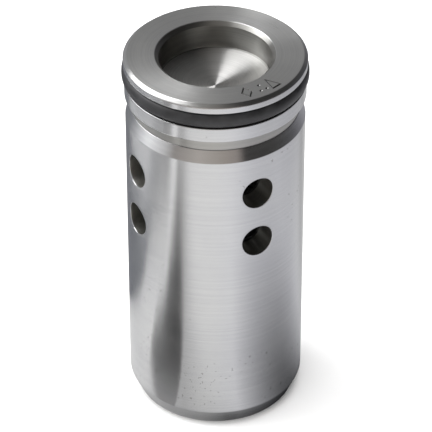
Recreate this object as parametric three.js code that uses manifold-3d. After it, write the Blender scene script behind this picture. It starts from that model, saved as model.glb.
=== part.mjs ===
// Cartridge valve: a direct-acting check valve that slips into a manifold cavity.
// Oil comes in through the eight side ports, pushes the sprung poppet off its seat ring
// and leaves through the open nose. The head carries the cavity's O-ring.
// Millimetres, +Z up, valve axis on Z, nose on z = 0.

import * as THREE from "three";
import { mergeVertices } from "three/addons/utils/BufferGeometryUtils.js";
import Module from "manifold-3d";

const wasm = await Module();
wasm.setup();

// Driving dimensions

const TOTAL_H = 90;
const BODY_R = 20;
const FIT = 0.05; // gap left between pieces that touch or screw together
const CUT_OVER = 1; // how far a cutting solid reaches past the piece it cuts

const SEGMENTS = 48; // facets round the sleeve and the pieces that seal in it
const INNER_SEGMENTS = 30; // facets round the smaller turned pieces

// Sleeve, outside
const NOSE_R = 18.2;
const NOSE_CHAMFER_H = 4.1;
const FLANK_Z = 74.5;
const SEAM_Z = 77.3;
const NECK_R = 18.8;

// Side ports: two rows of four
const PORT_R = 3.75;
const PORT_ROWS = [52, 65];
const PORT_WALL_STEPS = 24;

// Sleeve, inside, from the nose up
const NOSE_BORE_R = 14;
const NOSE_BORE_TOP = 4;
const CLIP_Z = 2;
const CLIP_T = 1.2;
const CLIP_GROOVE_R = 14.7;
const ADJUSTER_THREAD_R = 13.6;
const ADJUSTER_THREAD_TOP = 15;
const GUIDE_R = 12.5;
const GUIDE_TOP = 28;
const GALLERY_R = 14;
const GALLERY_TOP = 38.9;
const SHOULDER_R = 13;
const SHOULDER_Z = 41;
const CHAMBER_R = 14;
const CHAMBER_TOP = 69;
const HEAD_THREAD_R = 15.5;

// Head plug
const LAND_Z = 80.3;
const LAND_R = 20.15;
const GROOVE_Z = 83.75;
const GROOVE_FLOOR_R = 17.6;
const RIM_Z = 87.8;
const RIM_R = 20.35;
const RIM_CHAMFER_H = 0.7;
const RIM_CHAMFER_W = 0.8;
const POCKET_R = 12.5;
const POCKET_CHAMFER = 0.9;
const POCKET_FLOOR_Z = 83.6;
const POCKET_APEX_Z = 81.65;
const SPIGOT_BOTTOM = 69.2;
const SPIGOT_LEAD = 1;

// Head O-ring
const O_RING_SECTION_R = 1.5;
const O_RING_OUTER_R = 20.7;

// Seat ring and the static seal round it
const SEAT_BORE_R = 9;
const SEAT_LIP_R = 9.9;
const SEAT_LIP_FLARE = 1;
const SEAT_R = CHAMBER_R - FIT;
const SEAT_TOP = 46.6;
const SEAT_INLET_CHAMFER = 1.2;
const SEAT_GROOVE_R = 12.5;
const SEAT_GROOVE_Z = 42.4;
const SEAT_GROOVE_H = 2.6;
const BACKUP_RING_T = 0.7;
const SEAT_O_RING_SECTION_R = 0.68;
const SEAT_CLIP_T = 1;
const SEAT_CLIP_W = 1.7;
const SEAT_CLIP_GROOVE_R = 14.7;
const SEAT_CLIP_GAP = 24; // degrees
const SEAT_CLIP_GAP_AT = 45; // degrees from +X

// Nose circlip
const CIRCLIP_W = 2.2;
const CIRCLIP_GAP = 22; // degrees
const CIRCLIP_GAP_AT = 270; // degrees from +X
const LUG_R = 1.9;
const LUG_HOLE_R = 0.95;
const LUG_ANGLE = 13; // degrees from the middle of the gap
const LUG_INSET = 2.8; // from the ring's outside to a lug's centre

// Poppet: a seal-carrying disc over a guided, windowed cup that holds the spring
const POPPET_TOP = 40;
const POPPET_DISC_R = 11.2;
const POPPET_STEM_R = 11.6;
const POPPET_GUIDE_R = 12.4;
const POPPET_BOTTOM = 19;
const SKIRT_TOP = 27.6;
const SKIRT_CHAMFER = 0.6;
const CUP_R = 10.3;
const CUP_FLOOR_Z = 36;
const BOSS_R = 5;
const BOSS_BOTTOM = 31.5;
const WINDOW_W = 9;
const WINDOW_Z = 28.5;
const WINDOW_H = 6.3;
const WINDOW_ANGLES = [0, 90, 180, 270]; // degrees from +X
const WINDOW_CUT = 3; // enough to go through the wall
const SEAL_POCKET_Z = 38.4;
const SEAL_INNER_R = 6.5;
const SEAL_OUTER_R = 10.7;
const DISC_NECK = 0.5;
const DISC_EDGE_DROP = 0.4; // the disc's rim stays clear of the seat's lip
const GUIDE_RING_Z = [20.3, 24.3];
const GUIDE_RING_H = 2.5;
const GUIDE_RING_FLOOR_R = 11.6;
const GUIDE_RING_R = 12.44;
const GUIDE_RING_SPLIT = 3; // degrees
const GUIDE_RING_SPLIT_AT = [45, 225]; // degrees from +X

// Seal retainer and its M5 screw
const RETAINER_R = 8.6;
const RETAINER_EDGE_H = 0.8;
const RETAINER_TOP = 43;
const SCREW_R = 2.5;
const SCREW_CLEARANCE = 0.15;
const SCREW_BOTTOM = 33.5;
const SCREW_HEAD_R = 4.25;
const SCREW_HEAD_H = 3.5;
const SCREW_KEY_AF = 4;
const SCREW_KEY_DEPTH = 2.3;
const SCREW_POINT = 0.5;
const SCREW_HEAD_CHAMFER = 0.4;
const SCREW_SEGMENTS = 24;
const SCREW_HOLE_SPARE = 0.5; // depth of plain hole below the screw
const LOCK_WASHER_T = 0.9;
const LOCK_WASHER_R = 4.4;
const LOCK_WASHER_GAP = 12; // degrees
const LOCK_WASHER_GAP_AT = 100; // degrees from +X

// Spring and the washers at its ends
const SPRING_MEAN_R = 8.75;
const WIRE_R = 1;
const SPRING_TURNS = 5.5;
const END_TURN_PITCH = 2.15;
const GROUND_DEPTH = 0.5; // how far the end turns' centre line is above the ground faces
const SPRING_STEPS_PER_TURN = 18;
const UPPER_WASHER_T = 0.95;
const UPPER_WASHER_CLEARANCE = 0.3; // round the poppet's boss
const LOWER_WASHER_T = 1.15;
const WASHER_R = 10.1;
const LOWER_WASHER_BORE_R = 7.2;

// Adjuster ring: M27 x 1.5 with a hexagon through it
const ADJUSTER_R = 13.45;
const ADJUSTER_BOTTOM = 7;
const ADJUSTER_TOP = 14;
const ADJUSTER_CHAMFER = 0.6;
const ADJUSTER_KEY_AF = 14;
const PELLET_R = 1.2;
const PELLET_HOLE_R = 1.5;
const PELLET_INNER = 10.5;
const PELLET_OUTER = 13.3;
const PELLET_HOLE_SPARE = 0.3;
const PELLET_SEGMENTS = 12;

// Inspection punch marks on the head
const MARK_RADIUS = 16.5;
const MARK_DEPTH = 0.25;
const MARK_HALF_W = 1.35;
const MARK_HALF_H = 2;
const MARK_ANGLES = [-4, 8.5, 18]; // degrees round from -Y towards +X
const MARK_INNER = 0.6; // size of a mark's inner outline against its outer one
const DOT_R = 0.45;
const DOT_PLACES = [[-0.8, -1], [0.8, -1], [0, 0.9]];

// Geometry helpers

const radians = THREE.MathUtils.degToRad;

// A closed three.js geometry as a manifold solid.
function solid(geometry) {
  const bare = geometry.clone();
  bare.deleteAttribute("normal");
  bare.deleteAttribute("uv");
  const merged = mergeVertices(bare, 1e-4);
  const index = merged.index.array;
  const triangles = [];
  for (let i = 0; i < index.length; i += 3) {
    const [a, b, c] = index.slice(i, i + 3);
    if (a !== b && b !== c && c !== a) triangles.push(a, b, c);
  }
  return new wasm.Manifold(new wasm.Mesh({
    numProp: 3,
    vertProperties: new Float32Array(merged.attributes.position.array),
    triVerts: new Uint32Array(triangles),
  }));
}

// The solid as a three.js geometry again.
function geometryOf(piece) {
  const mesh = piece.getMesh();
  const geometry = new THREE.BufferGeometry();
  geometry.setAttribute("position", new THREE.BufferAttribute(mesh.vertProperties, 3));
  geometry.setIndex(new THREE.BufferAttribute(mesh.triVerts, 1));
  geometry.computeVertexNormals();
  return geometry;
}

// A turned piece from [radius, z] corners, anticlockwise. A profile that leaves the axis
// and comes back to it is solid in the middle; any other is closed on itself as a ring.
function turned(corners, segments = INNER_SEGMENTS) {
  const points = corners.map(([r, z]) => new THREE.Vector2(r, z));
  const startsOnAxis = corners[0][0] === 0;
  if (!startsOnAxis) points.push(points[0].clone());
  return solid(new THREE.LatheGeometry(points, segments).rotateX(Math.PI / 2));
}

// A turned ring of rectangular section.
function plainRing(innerR, outerR, z, height, segments = INNER_SEGMENTS) {
  const top = z + height;
  return turned([[innerR, z], [outerR, z], [outerR, top], [innerR, top]], segments);
}

// A ring of round section.
function roundRing(meanR, sectionR, z, segments, sides) {
  return solid(new THREE.TorusGeometry(meanR, sectionR, sides, segments).translate(0, 0, z));
}

// A flat ring with a gap in it, centred on the given angle from +X.
function splitRing(innerR, outerR, z, height, gapDegrees, gapCentre) {
  const start = radians(gapCentre + gapDegrees / 2);
  const end = radians(gapCentre - gapDegrees / 2 + 360);
  const outline = new THREE.Shape();
  outline.absarc(0, 0, outerR, start, end, false);
  outline.absarc(0, 0, innerR, end, start, true);
  const options = { depth: height, bevelEnabled: false, curveSegments: SEGMENTS / 3 };
  return solid(new THREE.ExtrudeGeometry(outline, options).translate(0, 0, z));
}

// An upright round or many-sided bar.
function bar(r, z, height, sides) {
  const geometry = new THREE.CylinderGeometry(r, r, height, sides);
  return solid(geometry.rotateX(Math.PI / 2).translate(0, 0, z + height / 2));
}

// A bar lying along the radius at the given angle from +X.
function radialBar(r, from, to, z, angle, sides) {
  const geometry = new THREE.CylinderGeometry(r, r, to - from, sides).rotateZ(Math.PI / 2);
  return solid(geometry.translate((from + to) / 2, 0, z).rotateZ(angle));
}

// The corner radius of a hexagon of the given size across its flats.
function hexRadius(acrossFlats) {
  return acrossFlats / 2 / Math.cos(Math.PI / 6);
}

// Pieces of the body

function valveSleeve() {
  const clipTop = CLIP_Z + CLIP_T + FIT;
  const guideLead = ADJUSTER_THREAD_R - GUIDE_R;
  const galleryLead = GALLERY_R - GUIDE_R;
  const shoulderLead = GALLERY_R - SHOULDER_R;
  const seatClipZ = SEAT_TOP + 2 * FIT;
  const seatClipTop = seatClipZ + SEAT_CLIP_T + 2 * FIT;
  const headBoreR = HEAD_THREAD_R + FIT;
  let sleeve = turned([
    [NOSE_R, 0],
    [BODY_R, NOSE_CHAMFER_H],
    [BODY_R, FLANK_Z],
    [NECK_R, SEAM_Z],
    [headBoreR, SEAM_Z],
    [headBoreR, CHAMBER_TOP],
    [CHAMBER_R, CHAMBER_TOP],
    [CHAMBER_R, seatClipTop],
    [SEAT_CLIP_GROOVE_R, seatClipTop],
    [SEAT_CLIP_GROOVE_R, seatClipZ],
    [CHAMBER_R, seatClipZ],
    [CHAMBER_R, SHOULDER_Z],
    [SHOULDER_R, SHOULDER_Z],
    [SHOULDER_R, GALLERY_TOP + shoulderLead],
    [GALLERY_R, GALLERY_TOP],
    [GALLERY_R, GUIDE_TOP + galleryLead],
    [GUIDE_R, GUIDE_TOP],
    [GUIDE_R, ADJUSTER_THREAD_TOP + guideLead],
    [ADJUSTER_THREAD_R, ADJUSTER_THREAD_TOP],
    [ADJUSTER_THREAD_R, NOSE_BORE_TOP],
    [NOSE_BORE_R, NOSE_BORE_TOP],
    [NOSE_BORE_R, clipTop],
    [CLIP_GROOVE_R, clipTop],
    [CLIP_GROOVE_R, CLIP_Z - FIT],
    [NOSE_BORE_R, CLIP_Z - FIT],
    [NOSE_BORE_R, 0],
  ], SEGMENTS);
  for (const z of PORT_ROWS) {
    for (const angle of [0, Math.PI / 2]) {
      const reach = BODY_R + CUT_OVER;
      sleeve = sleeve.subtract(radialBar(PORT_R, -reach, reach, z, angle, PORT_WALL_STEPS));
    }
  }
  return sleeve;
}

function headPlug() {
  const plug = turned([
    [0, SPIGOT_BOTTOM],
    [HEAD_THREAD_R - SPIGOT_LEAD, SPIGOT_BOTTOM],
    [HEAD_THREAD_R, SPIGOT_BOTTOM + SPIGOT_LEAD],
    [HEAD_THREAD_R, SEAM_Z + FIT],
    [NECK_R, SEAM_Z + FIT],
    [NECK_R, LAND_Z],
    [LAND_R, LAND_Z],
    [LAND_R, GROOVE_Z],
    [GROOVE_FLOOR_R, GROOVE_Z],
    [GROOVE_FLOOR_R, RIM_Z],
    [RIM_R, RIM_Z],
    [RIM_R, TOTAL_H - RIM_CHAMFER_H],
    [RIM_R - RIM_CHAMFER_W, TOTAL_H],
    [POCKET_R + POCKET_CHAMFER, TOTAL_H],
    [POCKET_R, TOTAL_H - POCKET_CHAMFER],
    [POCKET_R, POCKET_FLOOR_Z],
    [0, POCKET_APEX_Z],
  ], SEGMENTS);
  return plug.subtract(punchMarks());
}

// Three punch marks as cutters: a diamond, three dots and a triangle.
function punchMarks() {
  const diamond = [[0, -MARK_HALF_H], [MARK_HALF_W, 0], [0, MARK_HALF_H], [-MARK_HALF_W, 0]];
  const triangle = [[-MARK_HALF_W, -MARK_HALF_H], [MARK_HALF_W, -MARK_HALF_H], [0, MARK_HALF_H]];
  const marks = [markOutline(diamond), markDots(), markOutline(triangle)];
  return marks
    .map((geometry, i) => solid(placeMark(geometry, MARK_ANGLES[i])))
    .reduce((all, mark) => all.add(mark));
}

function placeMark(geometry, degrees) {
  const floor = TOTAL_H - MARK_DEPTH;
  return geometry.translate(0, -MARK_RADIUS, floor).rotateZ(radians(degrees));
}

function markOutline(corners) {
  const centre = corners.reduce((sum, [, y]) => sum + y, 0) / corners.length;
  const outline = new THREE.Shape(corners.map(([x, y]) => new THREE.Vector2(x, y)));
  const inner = corners.map(([x, y]) => [x * MARK_INNER, centre + (y - centre) * MARK_INNER]);
  outline.holes.push(new THREE.Path(inner.map(([x, y]) => new THREE.Vector2(x, y))));
  return new THREE.ExtrudeGeometry(outline, { depth: CUT_OVER, bevelEnabled: false });
}

function markDots() {
  const dots = DOT_PLACES.map(([x, y]) => {
    const dot = new THREE.Shape();
    dot.absarc(x, y, DOT_R, 0, 2 * Math.PI, false);
    return dot;
  });
  const options = { depth: CUT_OVER, bevelEnabled: false, curveSegments: 5 };
  return new THREE.ExtrudeGeometry(dots, options);
}

function headORing() {
  const z = (GROOVE_Z + RIM_Z) / 2;
  return roundRing(O_RING_OUTER_R - O_RING_SECTION_R, O_RING_SECTION_R, z, SEGMENTS, 8);
}

function seatRing() {
  const underside = SHOULDER_Z + FIT;
  const lipZ = POPPET_TOP + FIT;
  const grooveTop = SEAT_GROOVE_Z + SEAT_GROOVE_H;
  return turned([
    [SEAT_BORE_R, lipZ],
    [SEAT_LIP_R, lipZ],
    [SEAT_LIP_R + SEAT_LIP_FLARE, underside],
    [SEAT_R, underside],
    [SEAT_R, SEAT_GROOVE_Z],
    [SEAT_GROOVE_R, SEAT_GROOVE_Z],
    [SEAT_GROOVE_R, grooveTop],
    [SEAT_R, grooveTop],
    [SEAT_R, SEAT_TOP],
    [SEAT_BORE_R + SEAT_INLET_CHAMFER, SEAT_TOP],
    [SEAT_BORE_R, SEAT_TOP - SEAT_INLET_CHAMFER],
  ], SEGMENTS);
}

function seatBackupRing() {
  const z = SEAT_GROOVE_Z + FIT;
  return plainRing(SEAT_GROOVE_R + FIT, SEAT_R, z, BACKUP_RING_T, SEGMENTS);
}

function seatORing() {
  const meanR = (SEAT_GROOVE_R + FIT + SEAT_R) / 2;
  const z = SEAT_GROOVE_Z + 3 * FIT + BACKUP_RING_T + SEAT_O_RING_SECTION_R;
  return roundRing(meanR, SEAT_O_RING_SECTION_R, z, SEGMENTS, 6);
}

function seatSnapRing() {
  const outerR = SEAT_CLIP_GROOVE_R - 2 * FIT;
  const innerR = outerR - SEAT_CLIP_W;
  const z = SEAT_TOP + 3 * FIT;
  return splitRing(innerR, outerR, z, SEAT_CLIP_T, SEAT_CLIP_GAP, SEAT_CLIP_GAP_AT);
}

// Bore circlip: a split ring with a drilled lug on each side of its gap.
function noseCirclip() {
  const outerR = CLIP_GROOVE_R - 2 * FIT;
  const innerR = outerR - CIRCLIP_W;
  let clip = splitRing(innerR, outerR, CLIP_Z, CLIP_T, CIRCLIP_GAP, CIRCLIP_GAP_AT);
  for (const side of [-1, 1]) {
    const angle = radians(CIRCLIP_GAP_AT + side * LUG_ANGLE);
    const x = (outerR - LUG_INSET) * Math.cos(angle);
    const y = (outerR - LUG_INSET) * Math.sin(angle);
    const hole = bar(LUG_HOLE_R, CLIP_Z - CUT_OVER, CLIP_T + 2 * CUT_OVER, 12);
    clip = clip.add(bar(LUG_R, CLIP_Z, CLIP_T, 16).translate(x, y, 0));
    clip = clip.subtract(hole.translate(x, y, 0));
  }
  return clip;
}

// Pieces that slide with the poppet

function poppet() {
  const screwHoleR = SCREW_R + SCREW_CLEARANCE;
  const grooves = GUIDE_RING_Z.flatMap((z) => [
    [POPPET_GUIDE_R, z],
    [GUIDE_RING_FLOOR_R, z],
    [GUIDE_RING_FLOOR_R, z + GUIDE_RING_H],
    [POPPET_GUIDE_R, z + GUIDE_RING_H],
  ]);
  let body = turned([
    [0, BOSS_BOTTOM],
    [BOSS_R, BOSS_BOTTOM],
    [BOSS_R, CUP_FLOOR_Z],
    [CUP_R, CUP_FLOOR_Z],
    [CUP_R, POPPET_BOTTOM],
    [POPPET_GUIDE_R, POPPET_BOTTOM],
    ...grooves,
    [POPPET_GUIDE_R, SKIRT_TOP],
    [POPPET_STEM_R, SKIRT_TOP + SKIRT_CHAMFER],
    [POPPET_STEM_R, CUP_FLOOR_Z],
    [POPPET_DISC_R, CUP_FLOOR_Z + DISC_NECK],
    [POPPET_DISC_R, POPPET_TOP - DISC_EDGE_DROP],
    [SEAL_OUTER_R, POPPET_TOP - DISC_EDGE_DROP],
    [SEAL_OUTER_R, SEAL_POCKET_Z],
    [SEAL_INNER_R, SEAL_POCKET_Z],
    [SEAL_INNER_R, POPPET_TOP],
    [screwHoleR, POPPET_TOP],
    [screwHoleR, SCREW_BOTTOM - SCREW_HOLE_SPARE],
    [0, SCREW_BOTTOM - 2 * SCREW_HOLE_SPARE],
  ]);
  const wallR = (CUP_R + POPPET_STEM_R) / 2;
  const slot = new THREE.BoxGeometry(WINDOW_CUT, WINDOW_W, WINDOW_H);
  const window = solid(slot.translate(wallR, 0, WINDOW_Z + WINDOW_H / 2));
  for (const degrees of WINDOW_ANGLES) {
    body = body.subtract(window.rotate([0, 0, degrees]));
  }
  return body;
}

function poppetSeal() {
  const height = POPPET_TOP - SEAL_POCKET_Z - FIT;
  return plainRing(SEAL_INNER_R + FIT, SEAL_OUTER_R - FIT, SEAL_POCKET_Z + FIT, height);
}

function sealRetainer() {
  const boreR = SCREW_R + SCREW_CLEARANCE;
  const underside = POPPET_TOP + FIT;
  return turned([
    [boreR, underside],
    [RETAINER_R, underside],
    [RETAINER_R, underside + RETAINER_EDGE_H],
    [LOCK_WASHER_R + 0.4, RETAINER_TOP],
    [boreR, RETAINER_TOP],
  ]);
}

function retainerLockWasher() {
  const innerR = SCREW_R + SCREW_CLEARANCE;
  const z = RETAINER_TOP + FIT;
  return splitRing(innerR, LOCK_WASHER_R, z, LOCK_WASHER_T, LOCK_WASHER_GAP, LOCK_WASHER_GAP_AT);
}

function retainerScrew() {
  const headZ = RETAINER_TOP + LOCK_WASHER_T + 2 * FIT;
  const headTop = headZ + SCREW_HEAD_H;
  const screw = turned([
    [0, SCREW_BOTTOM],
    [SCREW_R - SCREW_POINT, SCREW_BOTTOM],
    [SCREW_R, SCREW_BOTTOM + SCREW_POINT],
    [SCREW_R, headZ],
    [SCREW_HEAD_R, headZ],
    [SCREW_HEAD_R, headTop - SCREW_HEAD_CHAMFER],
    [SCREW_HEAD_R - SCREW_HEAD_CHAMFER, headTop],
    [0, headTop],
  ], SCREW_SEGMENTS);
  const socketH = SCREW_KEY_DEPTH + CUT_OVER;
  return screw.subtract(bar(hexRadius(SCREW_KEY_AF), headTop - SCREW_KEY_DEPTH, socketH, 6));
}

function poppetGuideRing(i) {
  const innerR = GUIDE_RING_FLOOR_R + 2 * FIT;
  const z = GUIDE_RING_Z[i] + FIT;
  const height = GUIDE_RING_H - 2 * FIT;
  return splitRing(innerR, GUIDE_RING_R, z, height, GUIDE_RING_SPLIT, GUIDE_RING_SPLIT_AT[i]);
}

const UPPER_WASHER_Z = CUP_FLOOR_Z - FIT - UPPER_WASHER_T;

function upperSpringWasher() {
  return plainRing(BOSS_R + UPPER_WASHER_CLEARANCE, WASHER_R, UPPER_WASHER_Z, UPPER_WASHER_T);
}

// The spring between its two washers

const LOWER_WASHER_Z = ADJUSTER_TOP + FIT;
const SPRING_BOTTOM = LOWER_WASHER_Z + LOWER_WASHER_T + FIT;
const SPRING_TOP = UPPER_WASHER_Z - FIT;

// The wire's centre line: one close turn at each end and even turns between them.
class SpringPath extends THREE.Curve {
  getPoint(t, target = new THREE.Vector3()) {
    const turn = t * SPRING_TURNS;
    const rise = SPRING_TOP - SPRING_BOTTOM - 2 * GROUND_DEPTH;
    const openPitch = (rise - 2 * END_TURN_PITCH) / (SPRING_TURNS - 2);
    const lowEnd = Math.min(turn, 1);
    const highEnd = Math.max(turn - SPRING_TURNS + 1, 0);
    const open = turn - lowEnd - highEnd;
    const z = SPRING_BOTTOM + GROUND_DEPTH + (lowEnd + highEnd) * END_TURN_PITCH + open * openPitch;
    const angle = 2 * Math.PI * turn;
    return target.set(SPRING_MEAN_R * Math.cos(angle), SPRING_MEAN_R * Math.sin(angle), z);
  }
}

function spring() {
  const wire = new THREE.Shape();
  wire.absarc(0, 0, WIRE_R, 0, 2 * Math.PI, false);
  const coil = new THREE.ExtrudeGeometry(wire, {
    steps: SPRING_TURNS * SPRING_STEPS_PER_TURN,
    curveSegments: 3,
    extrudePath: new SpringPath(),
  });
  const height = SPRING_TOP - SPRING_BOTTOM;
  return solid(coil).intersect(bar(SPRING_MEAN_R + 2 * WIRE_R, SPRING_BOTTOM, height, 8));
}

// Pieces of the adjuster

function lowerSpringWasher() {
  return plainRing(LOWER_WASHER_BORE_R, WASHER_R, LOWER_WASHER_Z, LOWER_WASHER_T);
}

function adjusterRing() {
  const height = ADJUSTER_TOP - ADJUSTER_BOTTOM;
  const ring = turned([
    [0, ADJUSTER_BOTTOM],
    [ADJUSTER_R - ADJUSTER_CHAMFER, ADJUSTER_BOTTOM],
    [ADJUSTER_R, ADJUSTER_BOTTOM + ADJUSTER_CHAMFER],
    [ADJUSTER_R, ADJUSTER_TOP - ADJUSTER_CHAMFER],
    [ADJUSTER_R - ADJUSTER_CHAMFER, ADJUSTER_TOP],
    [0, ADJUSTER_TOP],
  ], SEGMENTS);
  const keyR = hexRadius(ADJUSTER_KEY_AF);
  const key = bar(keyR, ADJUSTER_BOTTOM - CUT_OVER, height + 2 * CUT_OVER, 6);
  const middle = (ADJUSTER_BOTTOM + ADJUSTER_TOP) / 2;
  const holeEnd = PELLET_INNER - PELLET_HOLE_SPARE;
  const mouth = ADJUSTER_R + CUT_OVER;
  const hole = radialBar(PELLET_HOLE_R, holeEnd, mouth, middle, 0, PELLET_SEGMENTS);
  return ring.subtract(key).subtract(hole);
}

function adjusterLockPellet() {
  const middle = (ADJUSTER_BOTTOM + ADJUSTER_TOP) / 2;
  return radialBar(PELLET_R, PELLET_INNER, PELLET_OUTER, middle, 0, PELLET_SEGMENTS);
}

// Materials

function finish(color, roughness, metalness) {
  return new THREE.MeshStandardMaterial({ color, roughness, metalness });
}

const turnedSteel = finish(0xb4b5b7, 0.32, 1);
const headSteel = finish(0xa3a3a4, 0.34, 1);
const hardenedSteel = finish(0x9a9a9b, 0.25, 1);
const springSteel = finish(0x77797c, 0.35, 1);
const blackOxide = finish(0x2c2c2e, 0.45, 0.9);
const zincPlate = finish(0xb9bcc0, 0.3, 1);
const nitrile = finish(0x1d1d1e, 0.55, 0);
const polyurethane = finish(0xa8731f, 0.5, 0);
const bronzePtfe = finish(0x6f6a4a, 0.6, 0);
const whitePtfe = finish(0xe4e2da, 0.5, 0);
const nylon = finish(0x2f63b0, 0.5, 0);

// Assembly

const valve = new THREE.Group();

function place(name, piece, material) {
  const mesh = new THREE.Mesh(geometryOf(piece), material);
  mesh.name = name;
  valve.add(mesh);
}

place("valve_sleeve", valveSleeve(), turnedSteel);
place("head_plug", headPlug(), headSteel);
place("head_o_ring", headORing(), nitrile);
place("seat_ring", seatRing(), hardenedSteel);
place("seat_backup_ring", seatBackupRing(), whitePtfe);
place("seat_o_ring", seatORing(), nitrile);
place("seat_snap_ring", seatSnapRing(), springSteel);
place("nose_circlip", noseCirclip(), blackOxide);

place("poppet", poppet(), hardenedSteel);
place("poppet_seal", poppetSeal(), polyurethane);
place("seal_retainer", sealRetainer(), zincPlate);
place("retainer_lock_washer", retainerLockWasher(), zincPlate);
place("retainer_screw", retainerScrew(), blackOxide);
place("poppet_guide_ring_lower", poppetGuideRing(0), bronzePtfe);
place("poppet_guide_ring_upper", poppetGuideRing(1), bronzePtfe);
place("upper_spring_washer", upperSpringWasher(), zincPlate);

place("poppet_spring", spring(), springSteel);

place("lower_spring_washer", lowerSpringWasher(), zincPlate);
place("adjuster_ring", adjusterRing(), zincPlate);
place("adjuster_lock_pellet", adjusterLockPellet(), nylon);

export default valve;
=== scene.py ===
"""Cartridge valve: the looks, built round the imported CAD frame.

Lengths are in millimetres until a mesh is made, where they become metres.
The valve stands on its nose, with its axis on Z. Angles round the axis are counted from -Y
towards +X, unless a comment says otherwise.
"""

import math

import bpy
from mathutils import Matrix, Vector


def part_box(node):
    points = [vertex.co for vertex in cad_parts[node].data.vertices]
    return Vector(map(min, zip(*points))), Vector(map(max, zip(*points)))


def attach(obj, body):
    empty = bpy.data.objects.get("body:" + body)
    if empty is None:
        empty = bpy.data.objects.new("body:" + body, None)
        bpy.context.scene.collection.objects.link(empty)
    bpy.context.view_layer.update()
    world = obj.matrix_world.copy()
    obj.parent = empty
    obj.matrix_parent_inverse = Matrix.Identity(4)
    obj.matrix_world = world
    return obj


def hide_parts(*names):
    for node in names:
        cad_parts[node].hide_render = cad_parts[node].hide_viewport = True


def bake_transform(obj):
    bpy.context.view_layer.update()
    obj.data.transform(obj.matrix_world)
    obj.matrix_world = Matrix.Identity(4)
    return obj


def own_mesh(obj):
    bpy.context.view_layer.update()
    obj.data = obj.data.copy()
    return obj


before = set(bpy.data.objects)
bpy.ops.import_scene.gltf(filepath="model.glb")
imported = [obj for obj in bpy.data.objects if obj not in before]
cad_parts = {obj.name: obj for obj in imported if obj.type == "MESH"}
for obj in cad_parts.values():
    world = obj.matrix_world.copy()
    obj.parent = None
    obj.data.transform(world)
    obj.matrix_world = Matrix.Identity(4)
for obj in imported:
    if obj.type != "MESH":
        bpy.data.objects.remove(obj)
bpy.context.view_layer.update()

MM = 0.001
COLUMNS = 192  # vertices round the larger turned pieces
INNER_COLUMNS = 96  # vertices round the smaller turned pieces


def box_mm(node):
    """Lowest and highest corners of a CAD node, in millimetres."""
    low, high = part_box(node)
    return low / MM, high / MM


def span(node):
    """A round CAD node's outer radius and its lowest and highest z, in millimetres."""
    low, high = box_mm(node)
    return max(high.x, high.y, -low.x, -low.y), low.z, high.z


# Sizes, in millimetres. What the CAD boxes give is read from them.

FIT = 0.05  # gap between pieces that touch or screw together

SLEEVE_R, _, SLEEVE_TOP = span("valve_sleeve")
NOSE_R = 18.2
NOSE_CHAMFER_H = 4.1
FLANK_Z = 74.5
NECK_R = 18.8

PORT_R = 3.75
PORT_ROWS = (52, 65)

CHAMBER_R = 14
CHAMBER_TOP = 69
SEAT_CLIP_GROOVE_R = 14.7
SHOULDER_R = 13
SHOULDER_Z = 41
GALLERY_R = 14
GALLERY_TOP = 38.9
GUIDE_R = 12.5
GUIDE_TOP = 28
ADJUSTER_THREAD_R = 13.6
ADJUSTER_THREAD_TOP = 15
NOSE_BORE_R = 14
NOSE_BORE_TOP = 4
CLIP_GROOVE_R = 14.7

RIM_R, HEAD_BOTTOM, HEAD_TOP = span("head_plug")
HEAD_THREAD_R = 15.5
LAND_Z = 80.3
LAND_R = 20.15
GROOVE_Z = 83.75
GROOVE_FLOOR_R = 17.6
RIM_Z = 87.8
RIM_CHAMFER_W = 0.8
RIM_CHAMFER_H = 0.7
POCKET_R = 12.5
POCKET_CHAMFER = 0.9
POCKET_FLOOR_Z = 83.6
POCKET_APEX_Z = 81.65
MARK_RADIUS = 16.5
MARK_DEPTH = 0.2
MARK_HALF_W = 1.35
MARK_HALF_H = 2
MARK_ANGLES = (-4, 8.5, 18)  # degrees

SEAT_BORE_R = 9
SEAT_LIP_R = 9.9
SEAT_GROOVE_R = 12.5
SEAT_GROOVE_TOP = 45

POPPET_R, POPPET_BOTTOM, POPPET_TOP = span("poppet")
POPPET_DISC_R = 11.2
POPPET_STEM_R = 11.6
SKIRT_TOP = 27.6
CUP_R = 10.3
CUP_FLOOR_Z = 36
BOSS_R = 5
BOSS_BOTTOM = 31.5
WINDOW_HALF_W = 4.5
WINDOW_HALF_H = 3.15
WINDOW_Z = 31.65  # middle of the windows
SEAL_POCKET_Z = 38.4
SEAL_INNER_R = 6.5
SEAL_OUTER_R = 10.7
GUIDE_RING_FLOOR_R = 11.6

SCREW_R = 2.5
SCREW_HOLE_R = 2.65
SCREW_HEAD_H = 3.5
SCREW_KEY_AF = 4
SCREW_KEY_DEPTH = 2.3
LOCK_WASHER_R = 4.4

WIRE_R = 1
SPRING_MEAN_R = 8.75
SPRING_TURNS = 5.5
END_TURN_PITCH = 2.15
GROUND_DEPTH = 0.5

ADJUSTER_KEY_AF = 14
ADJUSTER_PITCH = 1.5
THREAD_DEPTH = 0.8
PELLET_HOLE_R = 1.5
PELLET_INNER = 10.5


# Outlines and meshes


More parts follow.
